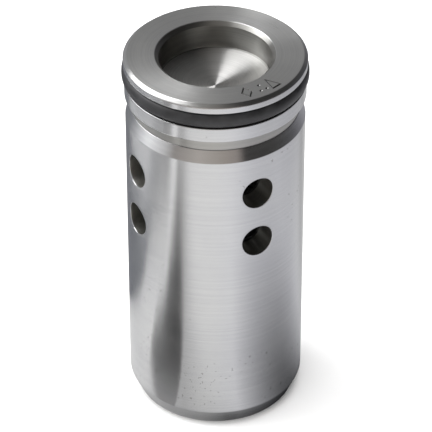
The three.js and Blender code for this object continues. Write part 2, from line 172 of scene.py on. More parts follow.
def outline(corners, steps=4):
    """A profile of (radius, z) points. A corner's third number rounds it to that radius.
    Straight runs get a point close to each rounded corner, which keeps them flat when shaded."""
    hold = 0.15  # from the rounding to that point
    most = 0.45  # of a side that one rounding takes
    points = []
    count = len(corners)
    for i, corner in enumerate(corners):
        here = Vector(corner[:2])
        radius = corner[2] if len(corner) > 2 else 0
        if not radius:
            points.append(tuple(here))
            continue
        before = Vector(corners[i - 1][:2]) - here
        after = Vector(corners[(i + 1) % count][:2]) - here
        half = before.angle(after) / 2
        cut = min(radius / math.tan(half), most * before.length, most * after.length)
        centre = here + (before.normalized() + after.normalized()).normalized() * cut / math.cos(half)
        start = here + before.normalized() * cut
        end = here + after.normalized() * cut
        if before.length > 2.5 * cut + hold:
            points.append(tuple(start + before.normalized() * hold))
        arm = start - centre
        turn = arm.angle_signed(end - centre)
        for k in range(steps + 1):
            points.append(tuple(centre + Matrix.Rotation(-turn * k / steps, 2) @ arm))
        if after.length > 2.5 * cut + hold:
            points.append(tuple(end + after.normalized() * hold))
    return points


def hexagon(across_flats):
    """The radius of a hexagon at each angle, with a corner at angle 0."""
    side = math.pi / 3
    return lambda angle: across_flats / 2 / math.cos(angle % side - side / 2)


class Skin:
    """The vertices and faces of one mesh while it is made."""

    def __init__(self, columns=COLUMNS):
        self.columns = columns
        self.verts = []
        self.faces = []

    def add(self, x, y, z):
        self.verts.append((x * MM, y * MM, z * MM))
        return len(self.verts) - 1

    def at(self, radius, angle, z):
        return self.add(radius * math.sin(angle), -radius * math.cos(angle), z)

    def height(self, vertex):
        return self.verts[vertex][2] / MM

    def ring(self, radius, z):
        """A ring of vertices. radius may be a function of the angle."""
        if radius == 0:
            return [self.add(0, 0, z)]
        turns = [2 * math.pi * i / self.columns for i in range(self.columns)]
        return [self.at(radius(turn) if callable(radius) else radius, turn, z) for turn in turns]

    def rings(self, points):
        return [self.ring(radius, z) for radius, z in points]

    def band(self, low, high, skip=()):
        """Faces between two rings, or between a ring and a point on the axis."""
        for i in range(self.columns):
            if i in skip:
                continue
            j = (i + 1) % self.columns
            if len(low) == 1:
                self.faces.append((low[0], high[j], high[i]))
            elif len(high) == 1:
                self.faces.append((low[i], low[j], high[0]))
            else:
                self.faces.append((low[i], low[j], high[j], high[i]))

    def bands(self, rings, closed):
        for low, high in zip(rings, rings[1:]):
            self.band(low, high)
        if closed:
            self.band(rings[-1], rings[0])

    def wrap(self, path, closed=True):
        """Bands along a path of (rings, holed) stretches. A stretch with holes in it is left to
        its row of holes, and only joined to its neighbours."""
        for rings, holed in path:
            if not holed:
                self.bands(rings, closed=False)
        following = path[1:] + path[:1] if closed else path[1:]
        for (before, _), (after, _) in zip(path, following):
            self.band(before[-1], after[0])

    def join(self, outer, inner):
        """Faces between two loops with the same number of vertices."""
        for i in range(len(outer)):
            j = (i + 1) % len(outer)
            self.faces.append((outer[i], outer[j], inner[j], inner[i]))

    def piece(self, name, sharp=30):
        mesh = bpy.data.meshes.new(name)
        mesh.from_pydata(self.verts, [], self.faces)
        return finished(name, mesh, sharp)


def placed(name, data):
    """A new object in the scene."""
    thing = bpy.data.objects.new(name, data)
    bpy.context.scene.collection.objects.link(thing)
    return thing


def finished(name, mesh, sharp=30):
    """A new object for the mesh, smooth except along its sharp edges."""
    mesh.validate()
    mesh.shade_smooth()
    mesh.set_sharp_from_angle(angle=math.radians(sharp))
    return placed(name, mesh)


def lathed(name, corners, columns=INNER_COLUMNS, steps=4):
    """A turned piece. A profile that starts and ends on the axis is solid in the middle."""
    skin = Skin(columns)
    skin.bands(skin.rings(outline(corners, steps)), closed=corners[0][0] != 0)
    return skin.piece(name)


def applied(thing):
    """The mesh that an object's curve or modifiers make."""
    shape = thing.evaluated_get(bpy.context.evaluated_depsgraph_get())
    return bpy.data.meshes.new_from_object(shape)


def plate(name, outlines, low, high, edge):
    """A flat piece cut to one outer outline and its holes, with bevelled edges."""
    curve = bpy.data.curves.new(name, "CURVE")
    curve.dimensions = "2D"
    curve.fill_mode = "BOTH"
    curve.extrude = ((high - low) / 2 - edge) * MM
    curve.bevel_depth = edge * MM
    curve.bevel_resolution = 2
    curve.offset = -edge * MM
    for points in outlines:
        spline = curve.splines.new("POLY")
        spline.points.add(len(points) - 1)
        for point, (x, y) in zip(spline.points, points):
            point.co = (x * MM, y * MM, 0, 1)
        spline.use_cyclic_u = True
    holder = placed(name, curve)
    mesh = applied(holder)
    bpy.data.objects.remove(holder)
    mesh.transform(Matrix.Translation((0, 0, (low + high) / 2 * MM)))
    return finished(name, mesh)


def polar(radius, angle):
    return radius * math.sin(angle), -radius * math.cos(angle)


def circle(x, y, radius, steps=24):
    turns = [2 * math.pi * k / steps for k in range(steps)]
    return [(x + radius * math.cos(turn), y + radius * math.sin(turn)) for turn in turns]


def squarish(turn, squareness):
    """The point of a round outline at a turn, drawn out towards a square: 2 leaves it round."""
    c, s = math.cos(turn), math.sin(turn)
    return (math.copysign(abs(c) ** (2 / squareness), c),
            math.copysign(abs(s) ** (2 / squareness), s))


def arc(radius, start, end, steps):
    """Points round the axis. radius may be a function of the angle."""
    turns = [start + (end - start) * k / steps for k in range(steps + 1)]
    return [polar(radius(turn) if callable(radius) else radius, turn) for turn in turns]


def split_plate(name, node, inner_r, gap, gap_at, edge):
    """A flat ring in the place of a CAD node, with a gap of so many degrees."""
    outer_r, low, high = span(node)
    start = math.radians(gap_at + gap / 2)
    end = math.radians(gap_at - gap / 2 + 360)
    points = arc(outer_r, start, end, INNER_COLUMNS) + arc(inner_r, end, start, INNER_COLUMNS)
    return plate(name, [points], low, high, edge)


def cut(piece, cutters):
    """Takes the cutters' shapes out of the piece."""
    for cutter in cutters:
        change = piece.modifiers.new("cut", "BOOLEAN")
        change.object = cutter
        change.operation = "DIFFERENCE"
        change.solver = "EXACT"
    mesh = applied(piece)
    piece.modifiers.clear()
    piece.data = mesh
    mesh.set_sharp_from_angle(angle=math.radians(30))
    for cutter in cutters:
        bpy.data.objects.remove(cutter)
    return piece


finishes = {}  # materials by name, which for a piece's finish is its slot's name


def also_finish(piece, name, where):
    """Gives another finish to the faces whose middle is where(radius, z) says."""
    piece.data.materials.append(finishes[name])
    for face in piece.data.polygons:
        x, y, z = face.center / MM
        if where(math.hypot(x, y), z):
            face.material_index = len(piece.data.materials) - 1


def dress(piece, slot, body, *nodes):
    """Gives a piece its finish and its body, and lets it stand for its CAD nodes."""
    piece.data.materials.clear()
    piece.data.materials.append(finishes[slot])
    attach(piece, body)
    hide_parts(*nodes)
    return piece


def thread(skin, radius, start, end, pitch, depth):
    """Rings along a wall that rise and fall with a right-hand thread and fade at both ends.
    radius is the middle of the thread."""
    rings_per_turn = 8
    steepness = 1.15  # past 1, a thin flat is left along the thread
    count = round(abs(end - start) / pitch * rings_per_turn)
    rings = []
    for k in range(count + 1):
        z = start + (end - start) * k / count
        fade = min(1, abs(z - start) / pitch, abs(end - z) / pitch)
        ring = []
        for i in range(skin.columns):
            turn = i / skin.columns
            wave = abs(2 * ((z / pitch - turn) % 1) - 1)
            cut_in = min(1, steepness * wave) - 0.5
            ring.append(skin.at(radius - cut_in * depth * fade, 2 * math.pi * turn, z))
        rings.append(ring)
    return rings


def round_port(turn, grow):
    """The edge of a drilled port, as distances across and up from its middle."""
    radius = PORT_R + grow
    return radius * math.cos(turn), radius * math.sin(turn)


def poppet_window(turn, grow):
    """The edge of a milled window, a rectangle with rounded corners."""
    across, up = squarish(turn, 7)
    return (WINDOW_HALF_W + grow) * across, (WINDOW_HALF_H + grow) * up


class HoleRow:
    """Four holes at the quarters of a round wall, all at one height. The outer and inner
    walls leave a square gap for each hole, which it fills up to the hole's edge."""

    def __init__(self, skin, shape, z, outer_r, inner_r, outer_half, inner_half, reach, edge):
        self.skin = skin
        self.shape = shape
        self.z = z
        self.outer_r = outer_r
        self.inner_r = inner_r
        self.reach = reach  # columns on each side of a hole's middle that its gap takes
        self.edge = edge  # how far the hole's edge is broken
        self.outer = self.wall(outer_r, outer_half)
        self.inner = self.wall(inner_r, inner_half)

    def wall(self, radius, half):
        rows = 2 * self.reach
        return [self.skin.ring(radius, self.z - half + 2 * half * k / rows) for k in range(rows + 1)]

    def fill(self):
        """Makes the walls' faces, the patches round the holes and the holes' own walls."""
        taken = set()
        for quarter in range(4):
            middle = quarter * self.skin.columns // 4
            taken |= {(middle + k) % self.skin.columns for k in range(-self.reach, self.reach)}
        for low, high in zip(self.outer, self.outer[1:]):
            self.skin.band(low, high, skip=taken)
        for low, high in zip(self.inner, self.inner[1:]):
            self.skin.band(high, low, skip=taken)
        for quarter in range(4):
            self.hole(quarter)

    def hole(self, quarter):
        skin = self.skin
        rounding = 4
        outer, turns = self.patch(quarter, self.outer, self.outer_r, self.edge)
        loops = [outer]
        for k in range(1, rounding + 1):
            lean = k * math.pi / 2 / rounding
            depth = self.edge * (1 - math.cos(lean))
            grow = self.edge * (1 - math.sin(lean))
            loops.append(self.loop(quarter, self.outer_r, depth, grow, turns))
        thickness = self.outer_r - self.inner_r
        for share in (0.15, 0.5, 0.9):  # of the wall's thickness
            loops.append(self.loop(quarter, self.outer_r, share * thickness, 0, turns))
        loops.append(self.loop(quarter, self.inner_r, -self.edge / 2, 0, turns))
        start = len(skin.faces)
        inner, _ = self.patch(quarter, self.inner, self.inner_r, self.edge / 2)
        skin.faces[start:] = [face[::-1] for face in skin.faces[start:]]
        loops.append(inner)
        for loop, following in zip(loops, loops[1:]):
            skin.join(loop, following)

    def patch(self, quarter, rings, wall_r, grow):
        """Fills one square gap down to the hole. Returns the loop round the hole,
        anticlockwise from outside, and each vertex's angle round the hole."""
        skin = self.skin
        middle = quarter * skin.columns // 4
        reach = self.reach
        column = 2 * math.pi / skin.columns
        steps = range(-reach, reach)
        square = [(k, -reach) for k in steps] + [(reach, k) for k in steps]
        square += [(-k, reach) for k in steps] + [(-reach, -k) for k in steps]
        turns = [math.atan2(row, k) for k, row in square]
        loop = [rings[reach + row][(middle + k) % skin.columns] for k, row in square]
        half = (skin.height(rings[-1][0]) - skin.height(rings[0][0])) / 2
        layers = 5
        for layer in range(1, layers + 1):
            share = layer / layers
            following = []
            for (k, row), turn in zip(square, turns):
                across, up = self.shape(turn, grow)
                phi = k * column
                phi += (math.asin(across / wall_r) - phi) * share
                z = self.z + half * row / reach
                z += (self.z + up - z) * share
                following.append(skin.at(wall_r, middle * column + phi, z))
            skin.join(loop, following)
            loop = following
        return loop, turns

    def loop(self, quarter, wall_r, depth, grow, turns):
        """A loop of the hole's own wall, at a depth below the round wall it starts from."""
        vertices = []
        for turn in turns:
            across, up = self.shape(turn, grow)
            out = math.sqrt(wall_r**2 - across**2) - depth
            angle = quarter * math.pi / 2 + math.atan2(across, out)
            vertices.append(self.skin.at(math.hypot(out, across), angle, self.z + up))
        return vertices


# Materials


class Nodes:
    """A small helper for wiring one node tree."""

    def __init__(self, tree):
        self.tree = tree

    def make(self, kind, feeds=(), **values):
        """A new node. feeds are what its inputs get, by name or number."""
        node = self.tree.nodes.new(kind)
        for key, value in values.items():
            setattr(node, key, value)
        for key, value in dict(feeds).items():
            self.feed(node.inputs[key], value)
        return node

    def feed(self, target, value):
        if isinstance(value, bpy.types.NodeSocket):
            self.tree.links.new(value, target)
        else:
            target.default_value = value

    def math(self, operation, a, b=0.0, c=0.0):
        return self.make("ShaderNodeMath", {0: a, 1: b, 2: c}, operation=operation).outputs[0]

    def times(self, a, b):
        return self.math("MULTIPLY", a, b)

    def dot(self, vector, direction):
        feeds = {0: vector, 1: direction}
        return self.make("ShaderNodeVectorMath", feeds, operation="DOT_PRODUCT").outputs["Value"]

    def noise(self, vector, scale, detail=3.0, roughness=0.55):
        feeds = {"Vector": vector, "Scale": scale, "Detail": detail, "Roughness": roughness}
        return self.make("ShaderNodeTexNoise", feeds).outputs["Fac"]

    def stops(self, value, stops):
        """Maps value to colours through (position, colour) stops in rising order."""
        node = self.make("ShaderNodeValToRGB", {0: value})
        elements = node.color_ramp.elements
        while len(elements) < len(stops):
            elements.new(0.5)
        for element, (position, colour) in zip(elements, stops):
            element.position = position
            element.color = (*colour, 1)
        return node.outputs[0]

    def ramp(self, value, low, high, dark, light):
        return self.stops(value, ((low, dark), (high, light)))

    def range(self, value, low, high, to_low, to_high):
        feeds = {0: value, 1: low, 2: high, 3: to_low, 4: to_high}
        return self.make("ShaderNodeMapRange", feeds).outputs[0]

    def mix(self, share, a, b):
        return self.make("ShaderNodeMix", {0: share, 6: a, 7: b}, data_type="RGBA").outputs[2]

    def bump(self, height, strength, distance, after=None):
        feeds = {"Height": height, "Strength": strength, "Distance": distance}
        if after:
            feeds["Normal"] = after
        return self.make("ShaderNodeBump", feeds).outputs[0]


class Finish(Nodes):
    """A new material, its principled shader and its place on the object."""

    def __init__(self, name, metallic=0.0):
        self.material = bpy.data.materials.new(name)
        finishes[name] = self.material
        self.material.use_nodes = True
        super().__init__(self.material.node_tree)
        self.shader = self.tree.nodes["Principled BSDF"]
        self.shader.inputs["Metallic"].default_value = metallic
        self.place = self.make("ShaderNodeTexCoord").outputs["Object"]

    def set(self, socket, value):
        self.feed(self.shader.inputs[socket], value)

    def turned_place(self, round_scale, along_scale):
        """Coordinates that follow the tool marks of a turned piece: x and y go slowly round
        the axis, and z goes along the profile, whether that is up a wall or out a face."""
        x, y, z = self.make("ShaderNodeSeparateXYZ", {0: self.place}).outputs
        radius = self.math("SQRT", self.math("MULTIPLY_ADD", x, x, self.times(y, y)))
        safe = self.math("MAXIMUM", radius, 1e-5)
        joined = self.make("ShaderNodeCombineXYZ")
        for target, side in zip(joined.inputs, (x, y)):
            self.feed(target, self.times(self.math("DIVIDE", side, safe), round_scale))
        face_share = 1.37  # 1 would lose the marks on a 45 degree chamfer
        along = self.math("MULTIPLY_ADD", radius, face_share, z)
        self.feed(joined.inputs[2], self.times(along, along_scale))
        return joined.outputs[0]

    def along_tool_marks(self, anisotropy, spiral=0.0):
        """Stretches the highlight across the tool marks, which run round the axis or, where the
        tool was fed in quickly, in a spiral a share of a turn away from that."""
        tangent = self.make("ShaderNodeTangent", direction_type="RADIAL", axis="Z")
        self.feed(self.shader.inputs["Tangent"], tangent.outputs[0])
        self.shader.inputs["Anisotropic"].default_value = anisotropy
        self.shader.inputs["Anisotropic Rotation"].default_value = 0.25 + spiral


def turned_steel(name, dark, light, roughness, anisotropy, marks=0.3, pits=0.4, spiral=0.0,
                 knocks=0.0):
    """Bare steel from the lathe: fine tool marks, soft stains and a few pits. Knocks are more and
    closer pits near the nose."""
    f = Finish(name, metallic=1.0)
    fine = f.noise(f.turned_place(0.6, 12000), 1, 3, 0.6)
    broad = f.noise(f.turned_place(0.35, 2200), 1, 2, 0.5)
    cloud = f.noise(f.place, 55, 4, 0.6)
    lines = f.math("MULTIPLY_ADD", fine, 0.7, f.times(broad, 0.3))
    tone = f.math("MULTIPLY_ADD", lines, 0.55, f.times(cloud, 0.45))
    specks = f.noise(f.place, 1300, 1, 0.4)
    patches = f.noise(f.place, 90, 1, 0.5)
    near_nose = f.range(f.dot(f.place, (0, 0, 1)), 0.040, 0.015, 0, knocks)
    specks = f.math("MULTIPLY_ADD", near_nose, 0.04, specks)
    patches = f.math("MULTIPLY_ADD", near_nose, 0.11, patches)
    speck = f.range(specks, 0.725, 0.755, 0, 1)
    pit = f.times(speck, f.range(patches, 0.59, 0.65, 0, 1))
    base = f.ramp(tone, 0.38, 0.62, dark, light)
    f.set("Base Color", f.mix(f.times(pit, 0.4), base, (0.12, 0.11, 0.1, 1)))
    wear = f.math("MULTIPLY_ADD", cloud, 0.6, f.times(fine, 0.4))
    f.set("Roughness", f.range(wear, 0.35, 0.65, roughness * 0.85, roughness * 1.15))
    grooves = f.bump(lines, marks, 0.00001)
    f.set("Normal", f.bump(f.times(pit, -1.0), pits, 0.00004, after=grooves))
    f.along_tool_marks(anisotropy, spiral)


def plated_steel(name, dark, light, roughness, metallic=1.0, mottle=120):
    """Metal that isn't turned, or that is coated: a fine even grain and cloudy colour."""
    f = Finish(name, metallic)
    cloud = f.noise(f.place, mottle, 4, 0.6)
    fine = f.noise(f.place, 3000, 2, 0.5)
    f.set("Base Color", f.ramp(cloud, 0.35, 0.65, dark, light))
    f.set("Roughness", f.range(cloud, 0.35, 0.65, roughness * 0.8, roughness * 1.25))
    f.set("Normal", f.bump(fine, 0.2, 0.00002))


def moulded(name, dark, light, roughness):
    """Moulded rubber or plastic, with a faint mottle and a fine surface grain."""
    f = Finish(name)
    cloud = f.noise(f.place, 250, 4, 0.6)
    fine = f.noise(f.place, 4000, 2, 0.5)
    f.set("Base Color", f.ramp(cloud, 0.35, 0.7, dark, light))
    f.set("Roughness", f.range(cloud, 0.3, 0.7, roughness * 0.8, roughness * 1.2))
    f.set("Normal", f.bump(fine, 0.15, 0.00002))


turned_steel("sleeve_steel", (0.55, 0.55, 0.56), (0.64, 0.64, 0.64), 0.23, 0.85,
             marks=0.16, pits=0.25, knocks=1.0)
turned_steel("drilled_steel", (0.36, 0.36, 0.34), (0.48, 0.47, 0.44), 0.42, 0.0)
# Inside the punch marks: a darker steel, painted shade in the marks.
plated_steel("stamped_shade_steel", (0.17, 0.17, 0.17), (0.27, 0.27, 0.26), 0.28)
# Inside the sleeve: a much darker copy of the steel, painted shade in the bore.
turned_steel("bore_shade_steel", (0.10, 0.10, 0.10), (0.17, 0.165, 0.16), 0.42, 0.5)
turned_steel("head_steel", (0.47, 0.47, 0.47), (0.62, 0.62, 0.61), 0.32, 0.85, marks=0.4)
turned_steel("pocket_steel", (0.50, 0.50, 0.49), (0.74, 0.73, 0.72), 0.37, 1.0,
             marks=0.5, spiral=-0.018)
# On the pocket's wall: a darker copy of the head's steel, painted shade in the pocket.
turned_steel("pocket_wall_shade_steel", (0.26, 0.26, 0.25), (0.40, 0.39, 0.37), 0.34, 0.85, marks=0.5)
# On the neck: a darker, warmer copy of the head's steel, painted warm reflection and shade under the
# land.
turned_steel("neck_painted_reflection_steel", (0.37, 0.365, 0.35), (0.48, 0.47, 0.45), 0.32, 0.75)
turned_steel("hardened_steel", (0.36, 0.36, 0.37), (0.46, 0.46, 0.46), 0.22, 0.5, pits=0.1)
plated_steel("spring_steel", (0.17, 0.17, 0.18), (0.27, 0.27, 0.28), 0.33)
plated_steel("black_oxide_steel", (0.018, 0.018, 0.02), (0.04, 0.04, 0.045), 0.42, metallic=0.7)
plated_steel("zinc_plate", (0.45, 0.46, 0.48), (0.58, 0.59, 0.61), 0.3, mottle=400)
moulded("nitrile_rubber", (0.012, 0.012, 0.013), (0.028, 0.028, 0.03), 0.45)
moulded("polyurethane", (0.36, 0.16, 0.02), (0.48, 0.23, 0.04), 0.4)
moulded("bronze_ptfe", (0.12, 0.10, 0.05), (0.2, 0.17, 0.09), 0.55)
moulded("white_ptfe", (0.72, 0.70, 0.65), (0.82, 0.8, 0.76), 0.45)
moulded("nylon", (0.02, 0.09, 0.32), (0.04, 0.13, 0.42), 0.45)


# The sleeve


def valve_sleeve():
    skin = Skin()
    _, clip_low, clip_high = span("nose_circlip")
    _, seat_clip_low, seat_clip_high = span("seat_snap_ring")
    head_bore_r = HEAD_THREAD_R + FIT
    lead = 1.1
    outside_low = outline([
        (CLIP_GROOVE_R, 0), (NOSE_R, 0, 0.25), (SLEEVE_R, NOSE_CHAMFER_H, 1.1), (SLEEVE_R, 20),
    ], steps=8)
    outside_high = outline([
        (SLEEVE_R, FLANK_Z - 2), (SLEEVE_R, FLANK_Z, 0.35), (NECK_R, SLEEVE_TOP, 0.12),
        (head_bore_r, SLEEVE_TOP), (head_bore_r, CHAMBER_TOP), (CHAMBER_R, CHAMBER_TOP, 0.2),
    ])
    inside = outline([
        (CHAMBER_R, seat_clip_high + FIT, 0.1), (SEAT_CLIP_GROOVE_R, seat_clip_high + FIT),
        (SEAT_CLIP_GROOVE_R, seat_clip_low - FIT), (CHAMBER_R, seat_clip_low - FIT, 0.1),
        (CHAMBER_R, SHOULDER_Z), (SHOULDER_R, SHOULDER_Z, 0.1), (SHOULDER_R, GALLERY_TOP + 1, 0.1),
        (GALLERY_R, GALLERY_TOP), (GALLERY_R, GUIDE_TOP + 1.5), (GUIDE_R, GUIDE_TOP, 0.1),
        (GUIDE_R, ADJUSTER_THREAD_TOP + lead, 0.1), (ADJUSTER_THREAD_R, ADJUSTER_THREAD_TOP),
    ])
    nose = outline([
        (ADJUSTER_THREAD_R, NOSE_BORE_TOP + 0.3), (NOSE_BORE_R, NOSE_BORE_TOP, 0.05),
        (NOSE_BORE_R, clip_high + FIT, 0.05), (CLIP_GROOVE_R, clip_high + FIT),
        (CLIP_GROOVE_R, clip_low - FIT), (NOSE_BORE_R, clip_low - FIT, 0.05), (NOSE_BORE_R, 0.5, 0.1),
    ])
    rows = []
    for z in PORT_ROWS:
        rows.append(HoleRow(skin, round_port, z, SLEEVE_R, CHAMBER_R, outer_half=5.6, inner_half=3.93,
                            reach=9, edge=0.14))
    path = [(skin.rings(outside_low), False)]
    path += [(row.outer, True) for row in rows]
    path.append((skin.rings(outside_high), False))
    path += [(row.inner[::-1], True) for row in reversed(rows)]
    path.append((skin.rings(inside), False))
    thread_top = ADJUSTER_THREAD_TOP - 0.5
    thread_bottom = NOSE_BORE_TOP + 0.6
    wall = thread(skin, ADJUSTER_THREAD_R, thread_top, thread_bottom, ADJUSTER_PITCH, THREAD_DEPTH)
    path.append((wall, False))
    path.append((skin.rings(nose), False))
    skin.wrap(path)
    for row in rows:
        row.fill()
    piece = skin.piece("sleeve_body")
    dress(piece, "sleeve_steel", "cartridge", "valve_sleeve")
    also_finish(piece, "drilled_steel", lambda radius, z: (
        radius < SLEEVE_R - 0.4 and PORT_ROWS[0] - 5 < z < PORT_ROWS[1] + 5))
    # Painted shade on the sleeve's inner faces.
    also_finish(piece, "bore_shade_steel", lambda radius, z: radius < CLIP_GROOVE_R + 0.5)


# The head


def mark_cutter(corners):
    """A V-shaped groove along an outline, just inside it."""
    levels = ((1.1, 0.1), (0.86, -MARK_DEPTH), (0.62, 0.1))  # size of the outline and height
    middle = sum(y for _, y in corners) / len(corners)
    verts = []
    for size, z in levels:
        verts += [(x * size * MM, (middle + (y - middle) * size) * MM, z * MM) for x, y in corners]
    count = len(corners)
    faces = []
    for level in range(len(levels)):
        for i in range(count):
            j = (i + 1) % count
            low, high = level * count, (level + 1) % len(levels) * count
            faces.append((low + i, high + i, high + j, low + j))
    mesh = bpy.data.meshes.new("mark")
    mesh.from_pydata(verts, [], faces)
    return mesh


def dot_cutter(x, y):
    """A round punch mark with a rounded bottom."""
    skin = Skin(24)
    radius = 0.38
    skin.bands(skin.rings([
        (0, -MARK_DEPTH), (0.3 * radius, -0.95 * MARK_DEPTH), (0.7 * radius, -0.6 * MARK_DEPTH),
        (radius, 0), (1.25 * radius, 0.1), (0, 0.1),
    ]), closed=False)
    mesh = bpy.data.meshes.new("dot")
    mesh.from_pydata(skin.verts, [], skin.faces)
    mesh.transform(Matrix.Translation((x * MM, y * MM, 0)))
    return mesh


def punch_marks():
    """Cutters for three plain inspection marks: a diamond, three dots and a triangle."""
    diamond = mark_cutter([(0, -MARK_HALF_H), (MARK_HALF_W, 0), (0, MARK_HALF_H), (-MARK_HALF_W, 0)])
    dots = [dot_cutter(x, y) for x, y in ((-0.8, -1), (0.8, -1), (0, 0.9))]
    triangle = mark_cutter([(-MARK_HALF_W, -MARK_HALF_H), (MARK_HALF_W, -MARK_HALF_H), (0, MARK_HALF_H)])
    cutters = []
    for meshes, angle in zip(([diamond], dots, [triangle]), MARK_ANGLES):
        place = Matrix.Rotation(math.radians(angle), 4, "Z")
        place @= Matrix.Translation((0, -MARK_RADIUS * MM, HEAD_TOP * MM))
        for mesh in meshes:
            mesh.transform(place)
            cutters.append(placed("mark", mesh))
    return cutters


def head_plug():
    spigot_lead = 1
    seam_z = SLEEVE_TOP + FIT
    body = lathed("head_body", [
        (0, HEAD_BOTTOM), (HEAD_THREAD_R - spigot_lead, HEAD_BOTTOM),
        (HEAD_THREAD_R, HEAD_BOTTOM + spigot_lead), (HEAD_THREAD_R, seam_z), (NECK_R, seam_z, 0.12),
        (NECK_R, LAND_Z, 0.3), (LAND_R, LAND_Z, 0.18), (LAND_R, GROOVE_Z, 0.14),
        (GROOVE_FLOOR_R, GROOVE_Z, 0.3), (GROOVE_FLOOR_R, RIM_Z, 0.3), (RIM_R, RIM_Z, 0.14),
        (RIM_R, HEAD_TOP - RIM_CHAMFER_H, 0.4), (RIM_R - RIM_CHAMFER_W, HEAD_TOP, 0.35),
        (POCKET_R + POCKET_CHAMFER, HEAD_TOP, 0.12), (POCKET_R, HEAD_TOP - POCKET_CHAMFER, 0.12),
        (POCKET_R, POCKET_FLOOR_Z, 0.3), (0, POCKET_APEX_Z),
    ], COLUMNS)
    piece = cut(body, punch_marks())
    dress(piece, "head_steel", "cartridge", "head_plug")
    also_finish(piece, "sleeve_steel", lambda radius, z: (
        radius > NECK_R + 0.3 and LAND_Z < z < HEAD_TOP - RIM_CHAMFER_H))
    # Painted warm reflection and shade on the neck.
    also_finish(piece, "neck_painted_reflection_steel", lambda radius, z: (
        NECK_R - 0.3 < radius < NECK_R + 0.3 and SLEEVE_TOP < z < LAND_Z))
    also_finish(piece, "pocket_steel", lambda radius, z: radius < POCKET_R - 0.4 and z > LAND_Z)
    # Painted shade on the pocket's wall.
    also_finish(piece, "pocket_wall_shade_steel", lambda radius, z: (
        POCKET_R - 0.4 < radius < POCKET_R + 0.8 * POCKET_CHAMFER and HEAD_TOP - 0.1 > z > LAND_Z))
    # Painted shade inside the punch marks.
    also_finish(piece, "stamped_shade_steel", lambda radius, z: (
        POCKET_R + POCKET_CHAMFER + 0.5 < radius < RIM_R - RIM_CHAMFER_W - 0.5
        and HEAD_TOP - 0.01 > z > HEAD_TOP - 2 * MARK_DEPTH))


def head_o_ring():
    """A ring squeezed in its groove: a little wider than it is deep."""
    outer_r, _, _ = span("head_o_ring")
    half_w = 1.85
    half_h = (outer_r - GROOVE_FLOOR_R) / 2
    sides = 40
    skin = Skin()
    section = []
    for k in range(sides):
        out, up = squarish(2 * math.pi * k / sides, 2.3)
        section.append((outer_r - half_h + out * half_h, (GROOVE_Z + RIM_Z) / 2 + up * half_w))
    skin.bands(skin.rings(section), closed=True)
    dress(skin.piece("head_seal"), "nitrile_rubber", "cartridge", "head_o_ring")


# The seat and the rings that hold it


def seat():
    radius, lip_z, top = span("seat_ring")
    _, backup_low, backup_high = span("seat_backup_ring")
    underside = SHOULDER_Z + FIT
    groove_z = backup_low - FIT
    inlet = 1.2
    ring = lathed("seat_body", [
        (SEAT_BORE_R, lip_z, 0.06), (SEAT_LIP_R, lip_z, 0.05), (SEAT_LIP_R + 1, underside, 0.15),
        (radius, underside, 0.2), (radius, groove_z, 0.1), (SEAT_GROOVE_R, groove_z, 0.15),
        (SEAT_GROOVE_R, SEAT_GROOVE_TOP, 0.15), (radius, SEAT_GROOVE_TOP, 0.1), (radius, top, 0.2),
        (SEAT_BORE_R + inlet, top, 0.15), (SEAT_BORE_R, top - inlet, 0.15),
    ])
    dress(ring, "hardened_steel", "cartridge", "seat_ring")
    backup = lathed("seat_backup", [
        (SEAT_GROOVE_R + FIT, backup_low, 0.1), (radius, backup_low, 0.1),
        (radius, backup_high, 0.1), (SEAT_GROOVE_R + FIT, backup_high, 0.1),
    ])
    dress(backup, "white_ptfe", "cartridge", "seat_backup_ring")
    _, low, high = span("seat_o_ring")
    mean_r = (SEAT_GROOVE_R + FIT + radius) / 2
    seal = Skin(INNER_COLUMNS)
    seal.bands(seal.rings(circle(mean_r, (low + high) / 2, (high - low) / 2)), closed=True)
    dress(seal.piece("seat_seal"), "nitrile_rubber", "cartridge", "seat_o_ring")
    clip_r, _, _ = span("seat_snap_ring")
    clip_w = 1.7
    clip = split_plate("seat_clip", "seat_snap_ring", clip_r - clip_w, gap=24, gap_at=135, edge=0.12)
    dress(clip, "spring_steel", "cartridge", "seat_snap_ring")


def nose_circlip():
    """A bore circlip: widest opposite its gap, with a drilled lug on each side of the gap."""
    outer_r, low, high = span("nose_circlip")
    narrow, wide = 1.75, 2.2
    lug_r = 1.9
    lug_centre_r = outer_r - 2.8
    lug_angle = math.radians(13)
    end_angle = math.radians(11)

    def inner_r(angle):
        return outer_r - narrow - (wide - narrow) * (1 - math.cos(angle)) / 2

    lug_x, lug_y = polar(lug_centre_r, lug_angle)
    blend_angle = math.radians(22)
    lug_from, lug_to = 12, 284  # degrees round the lug
    steps = 24
    lug = []
    for k in range(steps + 1):
        turn = math.radians(lug_from + (lug_to - lug_from) * k / steps)
        along, out = -lug_r * math.sin(turn), lug_r * math.cos(turn)
        lug.append((
            lug_x + along * math.cos(lug_angle) + out * math.sin(lug_angle),
            lug_y + along * math.sin(lug_angle) - out * math.cos(lug_angle),
        ))
    half = arc(outer_r, math.pi, end_angle, 60) + lug + arc(inner_r, blend_angle, math.pi, 60)[:-1]
    mirrored = [(-x, y) for x, y in reversed(half[1:])]
    holes = [circle(side * lug_x, lug_y, lug_r / 2) for side in (-1, 1)]
    clip = plate("nose_clip", [half + mirrored] + holes, low, high, 0.12)
    dress(clip, "black_oxide_steel", "cartridge", "nose_circlip")


# The poppet and what is fastened to it


